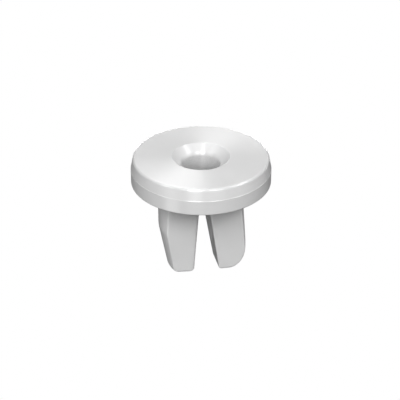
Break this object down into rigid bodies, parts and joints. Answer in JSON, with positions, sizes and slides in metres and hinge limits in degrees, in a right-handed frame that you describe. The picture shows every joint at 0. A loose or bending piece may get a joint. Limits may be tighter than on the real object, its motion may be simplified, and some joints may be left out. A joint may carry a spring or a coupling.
{
  "type": "push-in screw anchor",
  "caption": "Round-headed push-in screw anchor: a countersunk flange on a split, tapered stem whose legs spring in through a panel hole and spread when a screw is driven.",
  "frame": {"origin": "centre of the flange's underside, on the screw axis, where the flange seats on the panel", "axes": "+Z along the screw axis out of the head; the slot runs along Y; the legs stand at -X (left) and +X (right)"},
  "size_m": [0.016, 0.016, 0.0146],
  "materials": {
    "nylon_head": "natural white nylon, satin, moulded",
    "nylon_stem": "natural white nylon, satin, moulded",
    "nylon_leg": "natural white nylon, satin, moulded"
  },
  "bodies": {
    "head": {"head_flange": "nylon_head", "stem_collar": "nylon_stem", "left_flexure": "nylon_stem", "right_flexure": "nylon_stem"},
    "left_leg": {"left_leg": "nylon_leg"},
    "right_leg": {"right_leg": "nylon_leg"}
  },
  "joints": [
    {"name": "left_leg_flex", "type": "hinge", "parent": "head", "child": "left_leg", "pos_m": [-0.003, 0, -0.0019], "axis": [0, 1, 0], "range_deg": [-6, 10], "stiffness_Nm_per_rad": 1},
    {"name": "right_leg_flex", "type": "hinge", "parent": "head", "child": "right_leg", "pos_m": [0.003, 0, -0.0019], "axis": [0, -1, 0], "range_deg": [-6, 10], "stiffness_Nm_per_rad": 1}
  ]
}
